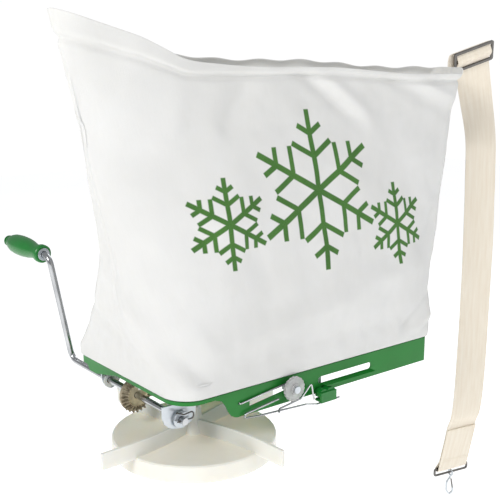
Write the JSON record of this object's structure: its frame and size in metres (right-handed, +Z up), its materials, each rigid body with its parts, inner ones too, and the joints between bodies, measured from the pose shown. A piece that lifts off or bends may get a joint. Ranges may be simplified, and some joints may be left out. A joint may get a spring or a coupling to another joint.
{
  "type": "hand crank broadcast spreader",
  "caption": "Strap-carried salt or seed spreader: a canvas hopper on a folded pan, a hand crank geared to a finned impeller below, and a sliding gate.",
  "frame": {"origin": "middle of the pan's flat rear flange, on its outer face", "axes": "+Z up, +Y out of the rear flange towards the person carrying it, +X along the pan towards the shoulder strap"},
  "size_m": [0.6208, 0.4227, 0.6747],
  "materials": {
    "green_paint": "gloss",
    "canvas": "matt woven",
    "zinc_plate": "satin",
    "bright_wire": "bright",
    "dark_steel": "dark satin",
    "bevel_gear_metal": "cast, dull",
    "gear_steel": "satin",
    "bush_metal": "satin",
    "green_plastic": "gloss",
    "cream_plastic": "moulded",
    "clear_plastic": "clear",
    "webbing": "woven"
  },
  "bodies": {
    "base": {"hopper_pan": "green_paint", "bag_strip_front": "zinc_plate", "bag_strip_rear": "zinc_plate", "bag_strip_left": "zinc_plate", "bag_strip_right": "zinc_plate", "strip_rivet_1": "bright_wire", "strip_rivet_2": "bright_wire", "strip_rivet_3": "bright_wire", "strip_rivet_4": "bright_wire", "strip_rivet_5": "bright_wire", "strip_rivet_6": "bright_wire", "strip_rivet_7": "bright_wire", "strip_rivet_8": "bright_wire", "strip_rivet_9": "bright_wire", "strip_rivet_10": "bright_wire", "canvas_bag": "canvas", "front_shaft_bracket": "zinc_plate", "rear_shaft_bracket": "zinc_plate", "front_shaft_bushing": "cream_plastic", "rear_shaft_bushing": "cream_plastic", "cluster_stub": "bright_wire", "idler_stub": "bright_wire", "gear_plate": "zinc_plate", "gear_plate_post_1": "bright_wire", "gear_plate_post_2": "bright_wire", "gear_plate_post_3": "bright_wire", "floor_bush": "bush_metal", "gear_plate_bush": "bush_metal", "gate_guide_front": "zinc_plate", "gate_guide_rear": "zinc_plate", "rate_rod": "bright_wire", "shoulder_strap": "webbing", "slide_buckle": "dark_steel", "strap_anchor": "webbing"},
    "crank": {"crank_rod": "bright_wire", "crank_gear": "bevel_gear_metal", "gear_roll_pin": "dark_steel", "front_hairpin_cotter": "dark_steel", "front_washer": "zinc_plate", "grip_push_nut": "green_plastic", "grip_inner_washer": "zinc_plate"},
    "grip": {"crank_grip": "green_plastic"},
    "cluster": {"cluster_gear": "gear_steel"},
    "idler": {"idler_gear": "gear_steel"},
    "impeller": {"impeller_shaft": "bright_wire", "impeller_pinion": "gear_steel", "impeller": "cream_plastic", "impeller_nut": "zinc_plate", "agitator": "cream_plastic"},
    "gate": {"gate_plate": "zinc_plate", "gate_lever": "green_plastic", "gate_wire": "bright_wire"},
    "rate_stop": {"rate_screw": "zinc_plate", "rate_clamp_nut": "zinc_plate", "rate_stop_wire": "bright_wire"},
    "rate_wheel": {"rate_thumb_wheel": "clear_plastic"},
    "link": {"strap_link": "dark_steel"},
    "hook": {"snap_hook": "zinc_plate"},
    "hook_gate": {"snap_hook_gate": "dark_steel"}
  },
  "joints": [
    {"name": "crank_spin", "type": "hinge", "parent": "base", "child": "crank", "pos_m": [-0.166, 0, -0.0069], "axis": [0, 1, 0], "continuous": true},
    {"name": "grip_spin", "type": "hinge", "parent": "crank", "child": "grip", "pos_m": [-0.19, 0.1, 0.1212], "axis": [0, 1, 0], "continuous": true},
    {"name": "cluster_spin", "type": "hinge", "parent": "base", "child": "cluster", "pos_m": [-0.166, -0.113, 0.0155], "axis": [0, 0, 1], "continuous": true},
    {"name": "idler_spin", "type": "hinge", "parent": "base", "child": "idler", "pos_m": [-0.14179, -0.12803, 0.0155], "axis": [0, 0, 1], "continuous": true},
    {"name": "impeller_spin", "type": "hinge", "parent": "base", "child": "impeller", "pos_m": [-0.1215, -0.14585, 0.0155], "axis": [0, 0, 1], "continuous": true},
    {"name": "gate_slide", "type": "slide", "parent": "base", "child": "gate", "axis": [1, 0, 0], "range_m": [0, 0.06]},
    {"name": "rate_stop_slide", "type": "slide", "parent": "base", "child": "rate_stop", "axis": [0.9919, 0, 0.1271], "range_m": [-0.045, 0.004]},
    {"name": "rate_wheel_spin", "type": "hinge", "parent": "rate_stop", "child": "rate_wheel", "pos_m": [-0.0396, -0.213, 0.0033], "axis": [0, 1, 0], "continuous": true},
    {"name": "link_swing", "type": "hinge", "parent": "base", "child": "link", "pos_m": [0.34512, -0.11495, -0.2365], "axis": [0.9848, -0.1736, 0], "range_deg": [-60, 60]},
    {"name": "hook_swing", "type": "hinge", "parent": "link", "child": "hook", "pos_m": [0.34512, -0.11495, -0.2459], "axis": [0.9848, -0.1736, 0], "range_deg": [-60, 60]},
    {"name": "hook_gate_swing", "type": "hinge", "parent": "hook", "child": "hook_gate", "pos_m": [0.3468, -0.11524, -0.25745], "axis": [0.1736, 0.9848, 0], "range_deg": [0, 18], "stiffness_Nm_per_rad": 0.02}
  ],
  "couplings": [
    {"joint": "cluster_spin", "follows": "crank_spin", "ratio": -2},
    {"joint": "idler_spin", "follows": "crank_spin", "ratio": 0.92308},
    {"joint": "impeller_spin", "follows": "crank_spin", "ratio": -2.4}
  ]
}
